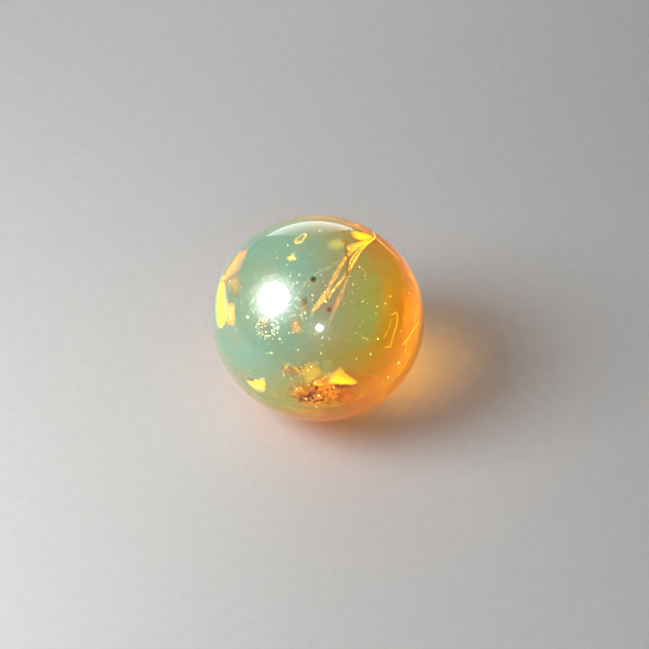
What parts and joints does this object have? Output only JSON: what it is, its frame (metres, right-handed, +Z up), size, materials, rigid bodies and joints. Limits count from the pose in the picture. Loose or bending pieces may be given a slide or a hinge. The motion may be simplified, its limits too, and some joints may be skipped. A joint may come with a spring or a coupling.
{
  "type": "insect in amber",
  "caption": "Polished clear amber ball with an insect, plant fibres and dark grains sealed inside, standing on a small flat foot.",
  "frame": {"origin": "centre of the bounding box's underside, on the surface that the ball stands on", "axes": "+Z up; +X to the right along the ball's longest extent, seen from the side that shows the inclusions best; that side faces -Y"},
  "size_m": [0.0206, 0.02, 0.0198],
  "materials": {
    "amber": "polished",
    "insect_skin": "satin",
    "fibre": "matte",
    "dark_grain": "matte"
  },
  "bodies": {
    "root": {"amber_upper": "amber", "amber_lower": "amber", "insect": "insect_skin", "gold_fibre": "fibre", "bright_fibre": "fibre", "brown_fibre": "fibre", "pale_fibre": "fibre", "cream_fibre": "fibre", "round_grain": "dark_grain", "long_grain": "dark_grain", "red_grain": "dark_grain"}
  },
  "joints": []
}
